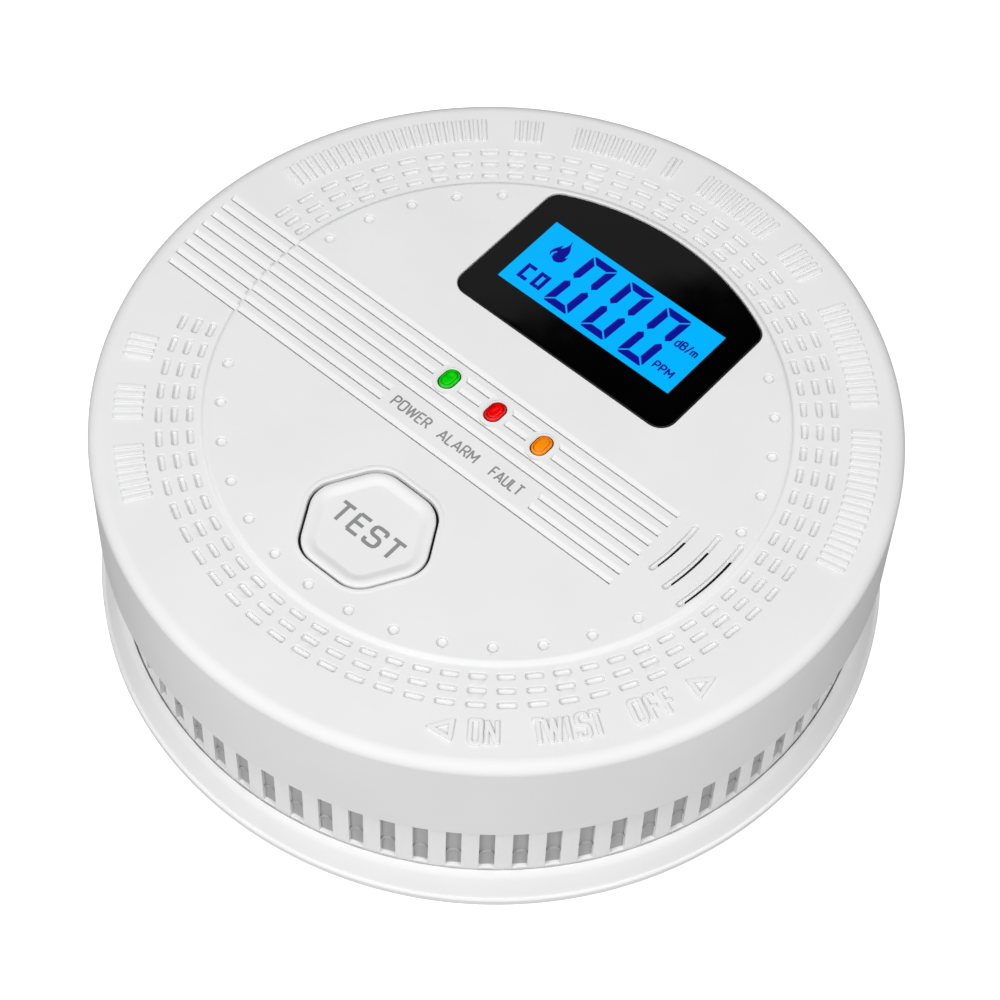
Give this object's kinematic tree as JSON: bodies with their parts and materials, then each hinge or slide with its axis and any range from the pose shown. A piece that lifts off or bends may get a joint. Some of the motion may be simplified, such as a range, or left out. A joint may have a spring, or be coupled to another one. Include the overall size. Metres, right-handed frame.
{
  "type": "carbon monoxide detector",
  "caption": "Round battery carbon monoxide detector with a display, test button, indicator lights and vented rear housing on a twist-lock wall bracket.",
  "frame": {"origin": "centre of the bracket's back face, which lies against the wall or ceiling", "axes": "+Z out of the wall through the front face, +X the reading direction of the face, +Y from the test button towards the display"},
  "size_m": [0.102, 0.102, 0.0334],
  "materials": {
    "cover_plastic": "fine satin moulded white",
    "housing_plastic": "fine satin moulded white",
    "bracket_plastic": "smooth satin moulded white",
    "button_plastic": "smooth satin moulded white",
    "lens_plastic": "polished black window",
    "display": "backlit blue",
    "milky_plastic": "translucent white",
    "component_plastic": "moulded black",
    "light_green": "clear tinted green",
    "light_red": "clear tinted red",
    "light_amber": "clear tinted amber",
    "board": "green solder mask",
    "contact_metal": "nickel plated",
    "sensor_steel": "drawn stainless steel",
    "screw_steel": "zinc plated",
    "piezo_brass": "rolled brass",
    "battery_jacket": "printed sleeve"
  },
  "bodies": {
    "bracket": {"mounting_bracket": "bracket_plastic"},
    "detector": {"rear_housing": "housing_plastic", "battery_door": "housing_plastic", "front_cover": "cover_plastic", "display_lens": "lens_plastic", "lcd_glass": "display", "lcd_backlight": "milky_plastic", "lcd_frame": "milky_plastic", "lcd_header": "component_plastic", "tact_switch_body": "component_plastic", "light_pipe_green": "light_green", "light_pipe_red": "light_red", "light_pipe_amber": "light_amber", "led_chip_green": "milky_plastic", "led_chip_red": "milky_plastic", "led_chip_amber": "milky_plastic", "main_board": "board", "microcontroller": "component_plastic", "sensor_amplifier": "component_plastic", "boost_coil": "component_plastic", "capacitor": "contact_metal", "co_sensor_can": "sensor_steel", "co_sensor_cap": "milky_plastic", "sounder_case": "component_plastic", "sounder_base": "component_plastic", "piezo_disc": "piezo_brass", "battery_1": "battery_jacket", "battery_2": "battery_jacket", "battery_3": "battery_jacket", "contact_spring_1": "contact_metal", "contact_spring_2": "contact_metal", "contact_spring_3": "contact_metal", "contact_plate_1": "contact_metal", "contact_plate_2": "contact_metal", "contact_plate_3": "contact_metal", "housing_screw_1": "screw_steel", "housing_screw_2": "screw_steel", "housing_screw_3": "screw_steel", "housing_screw_4": "screw_steel", "board_screw_1": "screw_steel", "board_screw_2": "screw_steel", "board_screw_3": "screw_steel"},
    "button": {"test_button": "button_plastic"},
    "plunger": {"tact_switch_plunger": "component_plastic"}
  },
  "joints": [
    {"name": "bayonet_twist", "type": "hinge", "parent": "bracket", "child": "detector", "pos_m": [0, 0, 0], "axis": [0, 0, 1], "range_deg": [0, 16]},
    {"name": "button_press", "type": "slide", "parent": "detector", "child": "button", "axis": [0, 0, -1], "range_m": [0, 0.0008], "stiffness_N_per_m": 2500, "springref_m": -0.0002},
    {"name": "plunger_press", "type": "slide", "parent": "detector", "child": "plunger", "axis": [0, 0, -1], "range_m": [0, 0.00025]}
  ],
  "couplings": [
    {"joint": "plunger_press", "follows": "button_press", "ratio": 0.3}
  ]
}
